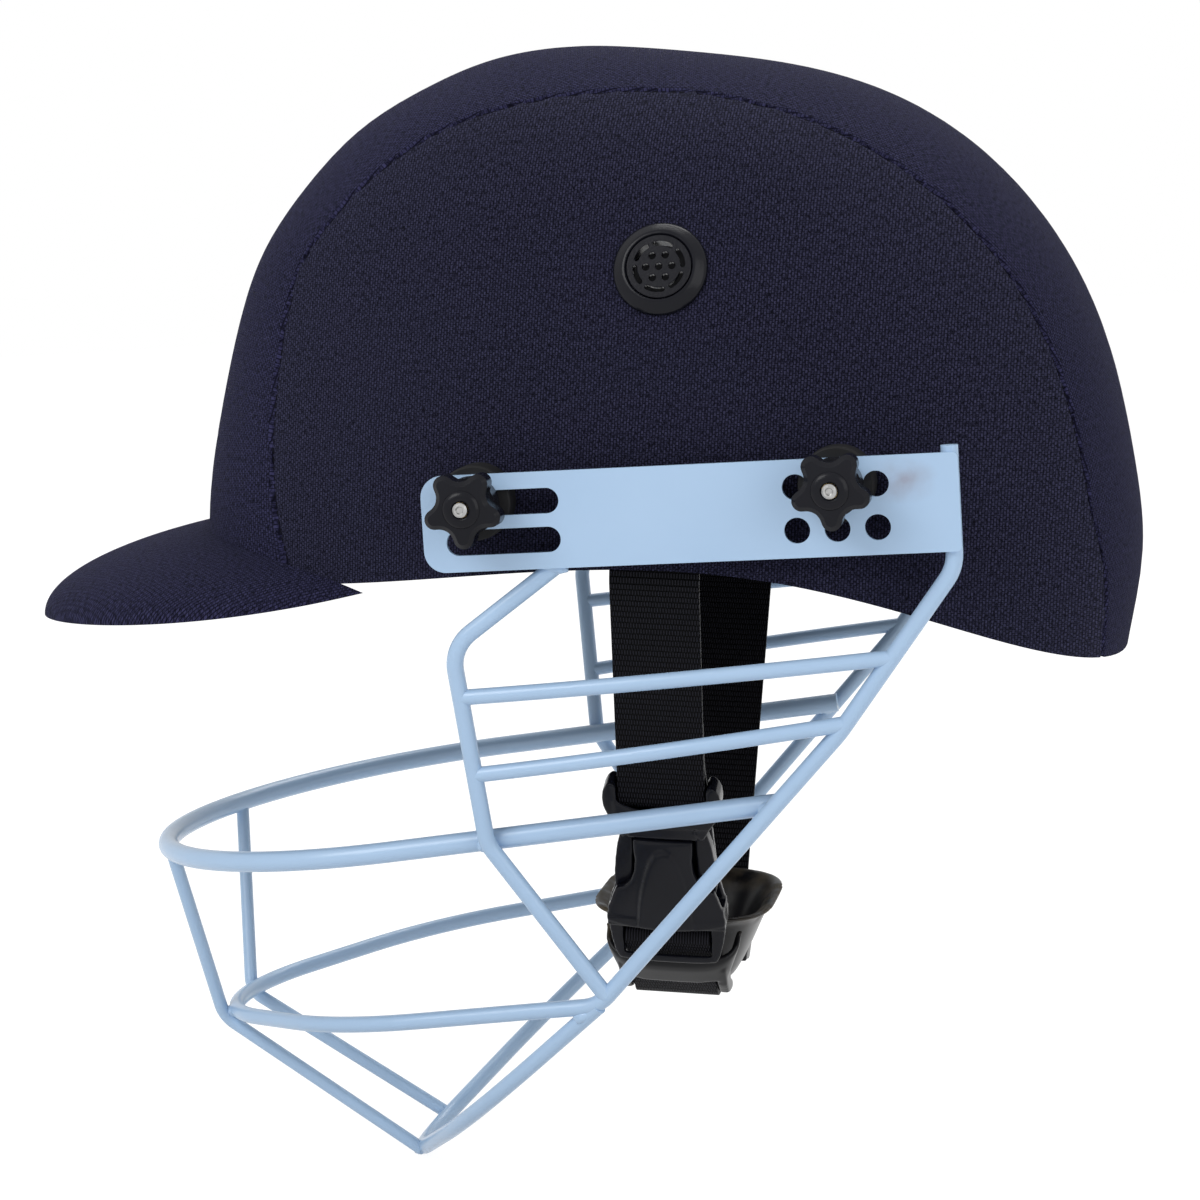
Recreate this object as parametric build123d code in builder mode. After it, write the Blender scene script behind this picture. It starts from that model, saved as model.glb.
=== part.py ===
from build123d import *
import math
import os

# Cricket helmet with a welded wire face guard. Millimetres, +Z up, -X to the front, +Y to the
# wearer's right. The origin is the middle of the head opening, at the level of the rim by the ears.

# Moulded shell with its bonded cloth cover, to the outside of the cloth
shell_front = 144.0
shell_rear = 138.7
crown_height = 146.4
shell_half_width = 103.0
shell_wall = 3.8
rim_depth = 46.0
front_squareness = 2.1
rear_squareness = 2.6

# Peak: a domed board under the same cloth
peak_root = 72.0
peak_reach = 125.3
peak_half_width = 91.0
peak_rise = 31.0
peak_edge_drop = 15.0
peak_wall = 3.0

# Foam liner: a lower ring of pads, an upper ring and a crown pad
layer_gap = 0.3
liner_wall = 12.0
pad_low = 8.0
pad_high = 45.0
pad_split = 3.0
upper_low = 48.0
upper_high = 98.0
crown_pad_radius = 45.0
crown_pad_wall = 10.0
crown_pad_corner = 3.0
strap_pocket_half = 23.0
strap_pocket_height = 26.0

# Side vents
vent_x = 13.0
vent_height = 81.5
vent_radius = 13.1
vent_bore = 9.0
vent_bulge = 3.2
vent_rim = 3.0
vent_disc_wall = 1.6
vent_ledge = 1.2
vent_hole = 1.0
vent_hole_ring = 3.6
vent_slot_ring = 6.6
vent_slot_width = 1.3
vent_slot_turn = 38.0
vent_ways = 6
vent_turn = 360.0

# Face guard: side plates
plate_gap = 5.0
plate_wall = 1.5
plate_front = 54.0
plate_rear = 92.5
plate_low = 2.7
plate_high = 29.3
plate_corner = 6.0
slot_width = 7.0
slot_length = 31.7
slot_middle = 31.7
slot_row_gap = 10.6
hole_pitch = 10.85
hole_row_gap = 11.7
hole_middle = 59.5
plate_hole = 7.0

# Face guard: wires, from the weld at the plate down to the chin
rod = 4.75
ring_rod = 6.0
strut_rod = 4.0
guard_corner = 12.0
plate_tail_top = 31.0
plate_tail_low = 2.0
oblique_bow = (56.0, 99.0, 47.0)
jaw_corner = (18.0, 84.0, 125.5)
low_ring_corner = (98.5, 68.0, 134.5)
low_ring_front = (146.5, 20.0, 141.0)
ring_radius = 89.0
ring_centre = 74.0
ring_level = 78.4
ring_slope = 0.094
ring_tail = 37.0
hoop_corner = (60.8, 67.6, 162.2)
hoop_front = (90.0, 13.0, 187.6)
cheek_top = (16.0, 4.6)
cheek_elbow = (49.0, 18.5)
cheek_ring_x = 45.0
cheek_foot = (15.5, 84.7, 122.5)
bar_levels = {"upper": 32.9, "lower": 55.5}
bar_slope = 0.2
oblique_bend = 40.0
low_ring_bend = 86.0
low_front_bend = 47.0
hoop_bend = 90.0
hoop_front_bend = 40.0
bar_rod = 4.4
bar_bow = 4.0
strut_half = 40.1
strut_foot = (87.4, 19.8, 185.3)
strut_elbow = (148.2, 16.2, 143.0)
strut_corner = 8.0

# Fixings: a stud through shell, spacer, plate, washer and knob
stud = 4.0
stud_running = 0.05
seat_gap = 0.05
stud_tip = 2.0
bolt_head_radius = 7.0
bolt_head_wall = 1.8
bolt_front_x = 39.7
spacer_radius = 10.3
washer_radius = 7.5
washer_wall = 1.0
hub_radius = 7.8
hub_length = 7.0
star_point = 17.0
star_valley = 6.4
star_wall = 7.5
star_lobes = 5
lobe_radius = 2.7
valley_radius = 4.0
star_recess = 2.6
star_recess_depth = 1.0
star_round = 1.2
insert_radius = 3.6
running_gap = 0.3
overrun = 1.0

# Chin strap, hung from a rivet on each side
pivot_x = 8.0
pivot_z = 10.0
hang_lean = -5.0
web_width = 25.0
web = 1.5
wall_gap = 3.5
tab_rise = 10.0
rim_drop = 14.0
cup_turn = (44.0, 126.0)
rivet_shank = 2.5
rivet_running = 0.08
rivet_head = 5.5
rivet_head_wall = 1.4
rivet_collar = 4.5
rivet_cover = 0.8

# Side-release buckle
plug_drop = 79.0
bar_radius = 2.0
loop_gap = 0.45
loop_run = 12.0
loop_tail = 26.0
rim_bend = 8.0
bar_to_bar = 50.0
plug_width = 34.0
plug_length = 12.0
plug_shoulder = 26.0
plug_rise = 2.0
plug_slot = 5.0
plug_neck = 3.0
mouth_drop = 10.0
socket_width = 35.0
socket_waist = 31.0
socket_length = 42.0
socket_wall = 11.0
socket_cavity = 30.0
socket_skin = 1.8
tongue_width = 6.0
tongue_length = 22.0
arm_width = 3.6
arm_length = 24.0
arm_wall = 4.4
arm_pad = 15.0
window_length = 13.0

# Chin cup
cup_half_length = 38.0
cup_half_width = 27.5
cup_floor_half = 22.0
cup_floor_width = 15.0
cup_rim = 121.0
cup_floor = 146.0
cup_wall = 2.2
cup_flare = 4.0
cup_flare_wall = 1.6
cup_corner_share = 0.6
cup_bridge = 6.0
cup_bridge_at = 15.0

# Share of each height, reach and width at the dome's levels, from below the rim to the crown
dome_shares = [
    (-0.34, 0.972, 0.945, 0.083, 0.955),
    (-0.07, 1.000, 1.000, 0.083, 0.995),
    (0.11, 0.983, 0.990, 0.083, 1.000),
    (0.31, 0.942, 0.954, 0.069, 0.971),
    (0.47, 0.896, 0.898, 0.055, 0.922),
    (0.635, 0.824, 0.797, 0.028, 0.840),
    (0.755, 0.728, 0.683, 0.000, 0.743),
    (0.868, 0.599, 0.508, -0.042, 0.587),
    (0.940, 0.458, 0.292, -0.083, 0.417),
    (0.976, 0.358, 0.086, -0.132, 0.272),
    (0.9973, 0.241, -0.090, -0.167, 0.095),
]
crown_share = -0.167
crown_ways = 12
dome_centre_share = -0.07

# Rim line seen from the side: places along the reach, and shares of the rim's depth
rim_shares = [
    (-1.20, 0.08),
    (-0.50, -0.03),
    (0.00, 0.015),
    (0.28, -0.09),
    (0.58, -0.38),
    (0.88, -0.76),
    (1.15, -0.93),
]

# Lower edge of the peak: places along its reach, and shares of the drop of its edge
peak_edge_shares = [(-1.10, -1.00), (-0.60, -0.86), (-0.18, -0.50), (0.25, 0.25)]

quarter_steps = 3
os.makedirs("parts", exist_ok=True)


def save(part, name):
    """Writes one piece under its own name."""
    part.label = name
    export_step(part, f"parts/{name}.step")


def save_pair(left, name):
    """Writes a left-hand piece and its mirror image."""
    with BuildPart() as right:
        mirror(left, about=Plane.XZ)
    save(left, f"left_{name}")
    save(right.part, f"right_{name}")


# Dome: one head-shaped form, grown or shrunk for each layer
def head_section(front, rear, wide, half, level, girth):
    """A closed egg at one level: a narrow front, a squarer back, pointed less near the crown."""
    with BuildSketch(Plane.XY.offset(level)) as section:
        with BuildLine():
            points = []
            for end, squareness in ((front, front_squareness), (rear, rear_squareness)):
                power = 2 / (2 + (squareness - 2) * girth)
                turns = [math.radians(90 * i / quarter_steps) for i in range(quarter_steps + 1)]
                side = [
                    (wide + (end - wide) * math.cos(t) ** power, half * math.sin(t) ** power)
                    for t in turns[:-1]
                ]
                points += side + [(wide, half)] if end == front else side[::-1]
            Spline(points + [(x, -y) for x, y in points[-2:0:-1]], periodic=True)
        make_face()
    return section.sketch


def dome_growth(grow):
    """How a growth by one distance stretches the dome about its own middle."""
    centre_x = (shell_rear - shell_front) / 2
    centre_z = dome_centre_share * crown_height
    along = 1 + grow / ((shell_front + shell_rear) / 2)
    across = 1 + grow / shell_half_width
    upward = 1 + grow / (crown_height - centre_z)
    return along, across, centre_x, centre_z, upward


def dome_section(grow, row):
    """The dome's egg for one row of shares."""
    along, across, centre_x, centre_z, upward = dome_growth(grow)
    height, front, rear, wide, girth = row
    return head_section(
        centre_x + (-front * shell_front - centre_x) * along,
        centre_x + (rear * shell_rear - centre_x) * along,
        centre_x + (wide * shell_front - centre_x) * along,
        girth * shell_half_width * across,
        centre_z + (height * crown_height - centre_z) * upward,
        girth,
    )


def dome(grow):
    """The solid form of the head, grown by one distance on every side."""
    along, across, centre_x, centre_z, upward = dome_growth(grow)
    crown_at = centre_x + (crown_share * shell_front - centre_x) * along
    crown = Vertex(crown_at, 0, centre_z + (crown_height - centre_z) * upward)
    with BuildPart() as form:
        loft([dome_section(grow, row) for row in dome_shares] + [crown])
    return form.part


def under_rim(lift):
    """All that lies below the rim line, raised by a distance."""
    far = shell_rear + shell_front
    with BuildPart() as below:
        with BuildSketch(Plane.XZ) as side:
            with BuildLine():
                points = [(x * shell_rear, z * rim_depth + lift) for x, z in rim_shares]
                rim = Spline(points)
                Polyline(rim @ 1, (far, -far), (-far, -far), rim @ 0)
            make_face()
        extrude(amount=far, both=True)
    return below.part


def side_hit(form, x, z):
    """Where a line across the helmet meets the left side of a form, and the outward normal there."""
    across = Axis((x, 0, z), (0, -1, 0))
    hits = [hit for hit in form.find_intersection_points(across) if hit[0].Y < 0]
    point, normal = min(hits, key=lambda hit: hit[0].Y)
    return point, normal if normal.Y < 0 else -normal


shell_outside = dome(0)
shell_inside = dome(-shell_wall)

# Places shared by the fixings, the shell and the plates
plate_inner = shell_half_width + plate_gap
plate_middle = (plate_low + plate_high) / 2
bolt_places = {
    "front": (-bolt_front_x, plate_middle + slot_row_gap / 2),
    "rear": (hole_middle, plate_middle + hole_row_gap / 2),
}
stud_hole = stud / 2 + running_gap
pivot_point, pivot_normal = side_hit(shell_outside, pivot_x, pivot_z)
vent_point, vent_normal = side_hit(shell_outside, vent_x, vent_height)
vent_plane = Plane(vent_point, x_dir=(1, 0, 0), z_dir=vent_normal)
vent_axis = Axis(vent_point, vent_normal)


def side_drill(radius, x, z):
    """A drill straight across both sides of the helmet."""
    with BuildPart() as drill:
        with BuildSketch(Plane.XZ):
            with Locations((x, z)):
                Circle(radius)
        extrude(amount=plate_inner, both=True)
    return drill.part


def vent_drill(radius):
    """A drill square to the shell at each vent."""
    with BuildPart() as drill:
        with BuildSketch(vent_plane):
            Circle(radius)
        extrude(amount=2 * liner_wall, both=True)
        mirror(about=Plane.XZ)
    return drill.part


# Shell: the dome, hollowed, cut along the rim line and drilled for its fixings
with BuildPart() as shell_blank:
    add(shell_outside)
    add(shell_inside, mode=Mode.SUBTRACT)

with BuildPart() as outer_shell:
    add(shell_blank.part)
    add(under_rim(0), mode=Mode.SUBTRACT)
    for x, z in bolt_places.values():
        add(side_drill(stud_hole, x, z), mode=Mode.SUBTRACT)
    with BuildSketch(Plane.XZ):
        with Locations((pivot_x, pivot_z)):
            Circle(rivet_shank)
    extrude(amount=-pivot_point.Y - rivet_cover, both=True, mode=Mode.SUBTRACT)
    add(vent_drill(vent_bore), mode=Mode.SUBTRACT)
save(outer_shell.part, "outer_shell")


# Peak: the upper front quarter of a flattened ball, seated on the shell over the brow
def peak_form(grow):
    """A flattened ball, grown by a distance."""
    with BuildPart() as form:
        Sphere(radius=1)
        scale(by=(peak_reach + grow, peak_half_width + grow, peak_rise + grow))
    return Pos(-peak_root, 0, -peak_edge_drop) * form.part


with BuildPart() as below_peak:
    with BuildSketch(Plane.XZ):
        with BuildLine():
            points = [
                (x * peak_reach - peak_root, z * peak_edge_drop) for x, z in peak_edge_shares
            ]
            edge = Spline(points)
            tail = edge @ 1
            Polyline(tail, (tail.X, -peak_reach), (-2 * peak_reach, -peak_reach), edge @ 0)
        make_face()
    extrude(amount=peak_reach, both=True)

with BuildPart() as peak:
    add(peak_form(0))
    add(peak_form(-peak_wall), mode=Mode.SUBTRACT)
    add(below_peak.part, mode=Mode.SUBTRACT)
    add(shell_outside, mode=Mode.SUBTRACT)
save(peak.part, "peak")


# Liner: straight-sided rings of foam that lie just inside the dome
def dome_level(grow, level):
    """The dome's egg at any level, between the levels of its table."""
    along, across, centre_x, centre_z, upward = dome_growth(grow)
    share = (centre_z + (level - centre_z) / upward) / crown_height
    for low, high in zip(dome_shares, dome_shares[1:]):
        if low[0] <= share <= high[0]:
            part = (share - low[0]) / (high[0] - low[0])
            row = [a + (b - a) * part for a, b in zip(low, high)]
    return dome_section(grow, row)


def liner_ring(low, high):
    """A ring of foam between two levels, one wall thick."""
    outer, inner = -shell_wall - layer_gap, -shell_wall - layer_gap - liner_wall
    with BuildPart() as core:
        loft([dome_level(inner, low), dome_level(inner, high)], ruled=True)
    with BuildPart() as ring:
        loft([dome_level(outer, low), dome_level(outer, high)], ruled=True)
        add(core.part, mode=Mode.SUBTRACT)
        add(shell_inside, mode=Mode.INTERSECT)
    return ring.part


def column(low_x, high_x, low_y, high_y):
    """An upright block that parts one pad from the ring."""
    with BuildPart() as block:
        with BuildSketch(Plane.XY):
            with Locations(((low_x + high_x) / 2, (low_y + high_y) / 2)):
                Rectangle(high_x - low_x, high_y - low_y)
        extrude(amount=crown_height)
    return block.part


pad_ring = liner_ring(pad_low, pad_high)
far = shell_front + shell_rear
brow_edge = -peak_root + peak_edge_drop
nape_edge = hole_middle + spacer_radius + pad_split

with BuildPart() as brow_pad:
    add(pad_ring)
    add(column(-far, brow_edge, -far, far), mode=Mode.INTERSECT)
save(brow_pad.part, "brow_pad")

with BuildPart() as nape_pad:
    add(pad_ring)
    add(column(nape_edge, far, -far, far), mode=Mode.INTERSECT)
save(nape_pad.part, "nape_pad")

with BuildPart() as ear_pad:
    add(pad_ring)
    add(column(brow_edge + pad_split, nape_edge - pad_split, -far, 0), mode=Mode.INTERSECT)
    with BuildSketch(Plane.XZ):
        with Locations((pivot_x, 0)):
            Rectangle(2 * strap_pocket_half, 2 * (pivot_z + strap_pocket_height))
    extrude(amount=shell_half_width, mode=Mode.SUBTRACT)
    for x, z in bolt_places.values():
        add(side_drill(bolt_head_radius + running_gap, x, z), mode=Mode.SUBTRACT)
save_pair(ear_pad.part, "ear_pad")

with BuildPart() as upper_liner:
    add(liner_ring(upper_low, upper_high))
    add(vent_drill(vent_bore + pad_split), mode=Mode.SUBTRACT)
save(upper_liner.part, "upper_liner")

# Crown pad: a round cushion that touches the dome along its upper edge
crown_x = (shell_rear - shell_front) / 2 + crown_share * shell_front
ways = [2 * math.pi * i / crown_ways for i in range(crown_ways)]
crown_rim = [
    (crown_x + crown_pad_radius * math.cos(t), crown_pad_radius * math.sin(t)) for t in ways
]
crown_pad_top = min(
    max(point.Z for point, normal in shell_inside.find_intersection_points(Axis(at, (0, 0, 1))))
    for at in [(x, y, 0) for x, y in crown_rim]
) - running_gap
with BuildPart() as crown_pad:
    with BuildSketch(Plane.XY.offset(crown_pad_top - crown_pad_wall)):
        with Locations((crown_x, 0)):
            Circle(crown_pad_radius)
    extrude(amount=crown_pad_wall)
    fillet(crown_pad.edges().group_by(Axis.Z)[0], radius=crown_pad_corner)
save(crown_pad.part, "crown_pad")


# Side vents: a flanged bezel through the shell, and a pierced disc on its ledge
vent_through = shell_wall + layer_gap
with BuildPart() as vent_bezel:
    with BuildSketch(vent_plane.offset(-vent_bulge)):
        Circle(vent_radius)
    extrude(amount=2 * vent_bulge)
    chamfer(vent_bezel.edges().sort_by(vent_axis)[-1], length=vent_rim / 2)
    add(shell_outside, mode=Mode.SUBTRACT)
    with BuildSketch(vent_plane.offset(-vent_through)):
        Circle(vent_bore - stud_running)
    extrude(amount=vent_through + vent_ledge)
    with BuildSketch(vent_plane.offset(vent_ledge)):
        Circle(vent_bore)
    extrude(amount=vent_bulge, mode=Mode.SUBTRACT)
    with BuildSketch(vent_plane.offset(-vent_through)):
        Circle(vent_bore - vent_ledge)
    extrude(amount=vent_through + vent_ledge, mode=Mode.SUBTRACT)
save_pair(vent_bezel.part, "vent_bezel")

vent_slots = [
    CenterArc((0, 0), vent_slot_ring, way * vent_turn / vent_ways, vent_slot_turn)
    for way in range(vent_ways)
]
with BuildPart() as vent_disc:
    with BuildSketch(vent_plane.offset(vent_ledge)):
        Circle(vent_bore - stud_running)
        Circle(vent_hole, mode=Mode.SUBTRACT)
        with PolarLocations(vent_hole_ring, vent_ways):
            Circle(vent_hole, mode=Mode.SUBTRACT)
        for slot in vent_slots:
            SlotArc(slot, height=vent_slot_width, mode=Mode.SUBTRACT)
    extrude(amount=vent_disc_wall)
save_pair(vent_disc.part, "vent_disc")


# Face guard: two slotted side plates
left_side = Plane.XZ.offset(plate_inner)
with BuildPart() as side_plate:
    with BuildSketch(left_side):
        with Locations(((plate_rear - plate_front) / 2, plate_middle)):
            Rectangle(plate_front + plate_rear, plate_high - plate_low)
        fillet(vertices().group_by(Axis.X)[0], radius=plate_corner)
        fillet(vertices().group_by(Axis.X)[-1], radius=plate_wall)
        with Locations((-slot_middle, plate_middle)):
            with GridLocations(0, slot_row_gap, 1, 2):
                SlotOverall(slot_length, slot_width, mode=Mode.SUBTRACT)
        with Locations((hole_middle, plate_middle)):
            with GridLocations(hole_pitch, hole_row_gap, 3, 2):
                Circle(plate_hole / 2, mode=Mode.SUBTRACT)
    extrude(amount=plate_wall)
save_pair(side_plate.part, "side_plate")


# Face guard: bent wires, each coped where it is welded to the one before
def round_bar(path, thickness):
    """A round bar: straight along each line of a path, and turned about the centre of each arc."""
    with BuildPart() as bar:
        for run in path.edges():
            with BuildSketch(Plane(run @ 0, z_dir=run % 0)):
                Circle(thickness / 2)
            if run.geom_type == GeomType.LINE:
                extrude(amount=run.length)
            else:
                bend_axis = Axis(run.arc_center, (run % 0).cross(run % 1))
                revolve(axis=bend_axis, revolution_arc=math.degrees(run.length / run.radius))
    return bar.part


def bent_wire(points, radii, thickness):
    """A round wire along straight runs with a bend at each inner corner."""
    return round_bar(FilletPolyline(*points, radius=radii), thickness)


def down(place):
    """A place on the left side from its distances to the front, to the side and down."""
    x, y, z = place
    return (-x, -y, -z)


def both_sides(places):
    """A run of places on the left, carried on to its mirror image on the right."""
    return places + [(x, -y, z) for x, y, z in places[::-1]]


def welded(part, *others):
    """A wire with the room of the wires it is welded to cut away."""
    with BuildPart() as cut:
        add(part)
        for other in others:
            add(other, mode=Mode.SUBTRACT)
    return cut.part.solids().sort_by(SortBy.VOLUME)[-1]


side_y = plate_inner - rod / 2
oblique_x, oblique_y, oblique_z = oblique_bow
wire_rear = plate_rear - rod / 2
left_run = [
    (wire_rear, -side_y, plate_tail_top),
    (wire_rear, -side_y, -plate_tail_low),
    (oblique_x, -oblique_y, -oblique_z),
    down(jaw_corner),
    down(low_ring_corner),
    down(low_ring_front),
]
low_bends = [guard_corner, oblique_bend, guard_corner, low_ring_bend, low_front_bend]
main_form = bent_wire(both_sides(left_run), low_bends + low_bends[::-1], rod)
with BuildPart() as main_wire:
    add(main_form)
save(main_wire.part, "main_wire")

ring_plane = Plane(
    (-ring_centre, 0, -ring_level), x_dir=(1, 0, ring_slope), z_dir=(-ring_slope, 0, 1)
)
with BuildLine(ring_plane) as ring_line:
    Line((ring_tail + ring_centre, -ring_radius), (0, -ring_radius))
    ThreePointArc((0, -ring_radius), (-ring_radius, 0), (0, ring_radius))
    Line((0, ring_radius), (ring_tail + ring_centre, ring_radius))
ring_form = round_bar(ring_line.wires()[0], ring_rod)
upper_ring = welded(ring_form, main_form)
save(upper_ring, "upper_ring")

hoop_run = [down(jaw_corner), down(hoop_corner), down(hoop_front)]
hoop_bends = [hoop_bend, hoop_front_bend]
hoop_form = bent_wire(both_sides(hoop_run), hoop_bends + hoop_bends[::-1], rod)
chin_hoop = welded(hoop_form, main_form)
save(chin_hoop, "chin_hoop")

cheek_x, cheek_z = cheek_top
elbow_x, elbow_z = cheek_elbow
cheek_ring_z = -ring_level + ring_slope * (ring_centre - cheek_ring_x)
cheek_ring_y = ring_radius + (ring_rod + rod) / 2
cheek_form = bent_wire(
    [
        (-cheek_x, -side_y, cheek_z),
        (-elbow_x, -side_y, -elbow_z),
        (-cheek_ring_x, -cheek_ring_y, cheek_ring_z),
        down(cheek_foot),
    ],
    [guard_corner, guard_corner],
    rod,
)
cheek_bar = welded(cheek_form, main_form, upper_ring)
save_pair(cheek_bar, "cheek_bar")


def part_way(high, low, level):
    """The place on a straight run at one level."""
    share = (level - high[2]) / (low[2] - high[2])
    return tuple(a + (b - a) * share for a, b in zip(high, low))


cheek_high = (-elbow_x, -side_y, -elbow_z)
cheek_low = (-cheek_ring_x, -cheek_ring_y, cheek_ring_z)
for name, level in bar_levels.items():
    front_x, front_y, front_z = part_way(cheek_high, cheek_low, -level)
    rear_x, rear_y, rear_z = part_way(left_run[1], left_run[2], bar_slope * level - level)
    middle = ((front_x + rear_x) / 2, (front_y + rear_y) / 2 - bar_bow, (front_z + rear_z) / 2)
    bow = ThreePointArc((front_x, front_y, front_z), middle, (rear_x, rear_y, rear_z))
    bar_form = round_bar(bow, bar_rod)
    save_pair(welded(bar_form, main_form, cheek_form), f"{name}_bar")

ring_front_x = ring_centre + math.sqrt(ring_radius**2 - strut_half**2)
strut_form = bent_wire(
    [
        (-ring_front_x, -strut_half, -ring_level - ring_slope * (ring_front_x - ring_centre)),
        down(strut_elbow),
        down(strut_foot),
    ],
    [strut_corner],
    strut_rod,
)
front_strut = welded(strut_form, main_form, ring_form, hoop_form)
save_pair(front_strut, "front_strut")


# Fixings: at each of four places a bolt, a spacer, a washer and a star knob with its insert
# Star outline: a lobe at the foot, then valleys and lobes in turn, each rounded to its own radius
turns = [math.pi * i / star_lobes for i in range(2 * star_lobes)]
reaches = [star_point, star_valley] * star_lobes
with BuildSketch() as star:
    with BuildLine():
        FilletPolyline(
            *[(r * math.sin(t), -r * math.cos(t)) for r, t in zip(reaches, turns)],
            radius=[lobe_radius, valley_radius] * star_lobes,
            close=True,
        )
    make_face()

insert_end = plate_inner + plate_wall + washer_wall + hub_length + star_wall - star_recess_depth
for name, (x, z) in bolt_places.items():
    outer_point, outer_normal = side_hit(shell_outside, x, z)
    inner_point, inner_normal = side_hit(shell_inside, x, z)
    seat = Plane.XZ.offset(plate_inner)
    head_low = -inner_point.Y - bolt_head_wall

    with BuildPart() as bolt:
        with BuildSketch(Plane.XZ.offset(head_low - bolt_head_wall)):
            with Locations((x, z)):
                Circle(bolt_head_radius)
        extrude(amount=bolt_head_wall + shell_wall)
        add(Pos(0, seat_gap, 0) * shell_inside, mode=Mode.INTERSECT)
        with BuildSketch(Plane.XZ.offset(head_low)):
            with Locations((x, z)):
                Circle(stud / 2)
        extrude(amount=insert_end + star_recess_depth + stud_tip - head_low)
        chamfer(bolt.edges().sort_by(Axis.Y)[0], length=stud_tip / 4)
    save_pair(bolt.part, f"{name}_bolt")

    with BuildPart() as spacer:
        with BuildSketch(seat):
            with Locations((x, z)):
                Circle(spacer_radius)
        extrude(amount=-2 * spacer_radius)
        with BuildSketch(seat):
            with Locations((x, z)):
                Circle(stud_hole)
        extrude(amount=-2 * spacer_radius, mode=Mode.SUBTRACT)
        add(shell_outside, mode=Mode.SUBTRACT)
    save_pair(spacer.part, f"{name}_spacer")

    with BuildPart() as washer:
        with BuildSketch(seat.offset(plate_wall)):
            with Locations((x, z)):
                Circle(washer_radius)
                Circle(stud_hole, mode=Mode.SUBTRACT)
        extrude(amount=washer_wall)
    save_pair(washer.part, f"{name}_washer")

    knob_seat = seat.offset(plate_wall + washer_wall)
    with BuildPart() as knob:
        with BuildSketch(knob_seat):
            with Locations((x, z)):
                Circle(hub_radius)
        extrude(amount=hub_length)
        with BuildSketch(knob_seat.offset(hub_length)):
            with Locations((x, z)):
                add(star.sketch)
        extrude(amount=star_wall)
        chamfer(knob.edges().group_by(Axis.Y)[0], length=star_round)
        with BuildSketch(knob_seat):
            with Locations((x, z)):
                Circle(insert_radius)
        extrude(amount=hub_length + star_wall - star_recess_depth, mode=Mode.SUBTRACT)
        with BuildSketch(knob_seat.offset(hub_length + star_wall)):
            with Locations((x, z)):
                Circle(star_recess)
        extrude(amount=-star_recess_depth, mode=Mode.SUBTRACT)
    save_pair(knob.part, f"{name}_knob")

    with BuildPart() as insert:
        with BuildSketch(knob_seat):
            with Locations((x, z)):
                Circle(insert_radius)
                Circle(stud / 2 + stud_running, mode=Mode.SUBTRACT)
        extrude(amount=hub_length + star_wall - star_recess_depth)
    save_pair(insert.part, f"{name}_insert")


# Chin strap: webbing hung from a rivet on each side, drawn on a plane that leans forward
lean = math.radians(hang_lean)
hang = Plane(
    (pivot_x, 0, pivot_z), x_dir=(0, 1, 0), z_dir=(math.cos(lean), 0, math.sin(lean))
)
inner_side, inner_normal = side_hit(shell_inside, pivot_x, pivot_z)
strap_side = -inner_side.Y - wall_gap - web / 2
turn_side, turn_drop = cup_turn
taut = Vector(turn_side - strap_side, rim_drop - turn_drop).normalized()
outward = Vector(-taut.Y, taut.X)
loop = bar_radius + loop_gap + web / 2
bar_share = (plug_drop - rim_drop) / (turn_drop - rim_drop)
plug_bar = Vector(strap_side + (turn_side - strap_side) * bar_share, -plug_drop)
socket_bar = plug_bar + taut * bar_to_bar


def web_band(*runs):
    """Webbing of one width along drawn runs on the hanging plane."""
    with BuildPart() as band:
        for run in runs:
            with BuildSketch(hang):
                with BuildLine():
                    run()
                trace(line_width=web)
            extrude(amount=web_width / 2, both=True)
        with BuildSketch(Plane.XZ):
            with Locations((pivot_x, pivot_z)):
                Circle(rivet_shank + rivet_running)
        extrude(amount=shell_half_width, both=True, mode=Mode.SUBTRACT)
    return band.part


left_near = Vector(-(plug_bar + outward * loop).X, (plug_bar + outward * loop).Y)
right_near = Vector(-(socket_bar + outward * loop).X, (socket_bar + outward * loop).Y)
under = -cup_floor - web
leg_back = (right_near - Vector(-cup_floor_half, under)).normalized()


def left_leg():
    """Down the left side and round the bar of the plug."""
    below = plug_bar + taut * loop
    inside = plug_bar - outward * loop
    FilletPolyline(
        (-strap_side, tab_rise), (-strap_side, -rim_drop), (left_near.X, left_near.Y), radius=rim_bend
    )
    ThreePointArc((left_near.X, left_near.Y), (-below.X, below.Y), (-inside.X, inside.Y))


def left_fold():
    """From the bar of the plug back up beside the leg."""
    inside = plug_bar - outward * loop
    beside = plug_bar + outward * (loop - web - running_gap)
    fold = [inside, beside - taut * loop_run, beside - taut * loop_tail]
    FilletPolyline(*[(-at.X, at.Y) for at in fold], radius=rim_bend)


def right_leg():
    """Down the right side, under the chin and round the bar of the socket."""
    above = socket_bar - taut * loop
    inside = socket_bar - outward * loop
    FilletPolyline(
        (strap_side, tab_rise),
        (strap_side, -rim_drop),
        (turn_side, -turn_drop),
        (cup_floor_half + web, under),
        (-cup_floor_half, under),
        (right_near.X, right_near.Y),
        radius=rim_bend,
    )
    ThreePointArc((right_near.X, right_near.Y), (-above.X, above.Y), (-inside.X, inside.Y))


def right_fold():
    """From the bar of the socket back down beside the leg."""
    inside = socket_bar - outward * loop
    beside = right_near + Vector(leg_back.Y, -leg_back.X) * (web + running_gap)
    fold = [Vector(-inside.X, inside.Y), beside - leg_back * loop_run, beside - leg_back * loop_tail]
    FilletPolyline(*[(at.X, at.Y) for at in fold], radius=rim_bend)


left_strap = web_band(left_leg, left_fold)
save(left_strap, "left_strap")
right_strap = web_band(right_leg, right_fold)
save(right_strap, "right_strap")

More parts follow.
